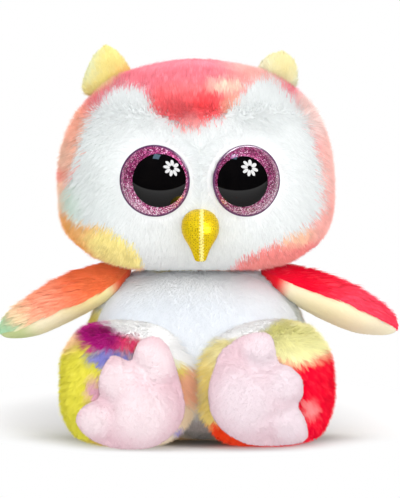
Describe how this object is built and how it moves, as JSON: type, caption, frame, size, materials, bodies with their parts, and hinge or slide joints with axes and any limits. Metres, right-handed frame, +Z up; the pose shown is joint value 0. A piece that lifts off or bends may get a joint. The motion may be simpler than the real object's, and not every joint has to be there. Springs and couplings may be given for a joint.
{
  "type": "plush owl",
  "caption": "Seated plush owl with a large round head, white face mask, domed plastic eyes, gold beak, ear tufts, wings that flap and stubby three-toed feet.",
  "frame": {"origin": "middle of the neck's plan, on the flat seat that the toy sits on", "axes": "+Z up, the face looks along -Y, +X to the right in the picture"},
  "size_m": [0.1509, 0.0964, 0.1489],
  "materials": {
    "white_pile": "short white plush pile",
    "dyed_pile": "plush pile, dyed in patches of coral, peach, yellow, olive, red, violet and blue",
    "pink_velour": "short matt velour",
    "yellow_velboa": "short smooth pile",
    "gold_cloth": "metallic dotted cloth",
    "eye_glitter": "pink glitter under clear gloss",
    "eye_black": "polished",
    "washer": "moulded",
    "stuffing": "loose polyester fibre",
    "pouch_cloth": "plain woven, over pellets"
  },
  "bodies": {
    "torso": {"belly_panel": "white_pile", "back_panel_left": "dyed_pile", "back_panel_right": "dyed_pile", "base_panel": "dyed_pile", "body_stuffing": "stuffing", "bean_pouch": "pouch_cloth", "leg_cover_left": "dyed_pile", "leg_cover_right": "dyed_pile", "leg_stuffing_left": "stuffing", "leg_stuffing_right": "stuffing", "foot_sole_left": "pink_velour", "foot_sole_right": "pink_velour", "foot_upper_left": "pink_velour", "foot_upper_right": "pink_velour"},
    "head": {"face_panel": "white_pile", "crown_panel": "dyed_pile", "head_back_left": "dyed_pile", "head_back_right": "dyed_pile", "head_stuffing": "stuffing", "ear_front_left": "dyed_pile", "ear_front_right": "dyed_pile", "ear_back_left": "dyed_pile", "ear_back_right": "dyed_pile", "eye_iris_left": "eye_glitter", "eye_iris_right": "eye_glitter", "eye_pupil_left": "eye_black", "eye_pupil_right": "eye_black", "eye_washer_left": "washer", "eye_washer_right": "washer", "beak_left": "gold_cloth", "beak_right": "gold_cloth", "beak_stuffing": "stuffing"},
    "wing_left": {"wing_top_left": "dyed_pile", "wing_under_left": "yellow_velboa", "wing_stuffing_left": "stuffing"},
    "wing_right": {"wing_top_right": "dyed_pile", "wing_under_right": "yellow_velboa", "wing_stuffing_right": "stuffing"}
  },
  "joints": [
    {"name": "wing_left_flap", "type": "hinge", "parent": "torso", "child": "wing_left", "pos_m": [-0.0327, -0.002, 0.06222], "axis": [0, 1, 0], "range_deg": [-4, 28], "stiffness_Nm_per_rad": 0.05},
    {"name": "wing_right_flap", "type": "hinge", "parent": "torso", "child": "wing_right", "pos_m": [0.03468, -0.002, 0.06064], "axis": [0, -1, 0], "range_deg": [-4, 18], "stiffness_Nm_per_rad": 0.05},
    {"name": "head_turn", "type": "hinge", "parent": "torso", "child": "head", "pos_m": [0, 0, 0.066], "axis": [0, 0, 1], "range_deg": [-20, 20], "stiffness_Nm_per_rad": 0.2}
  ]
}
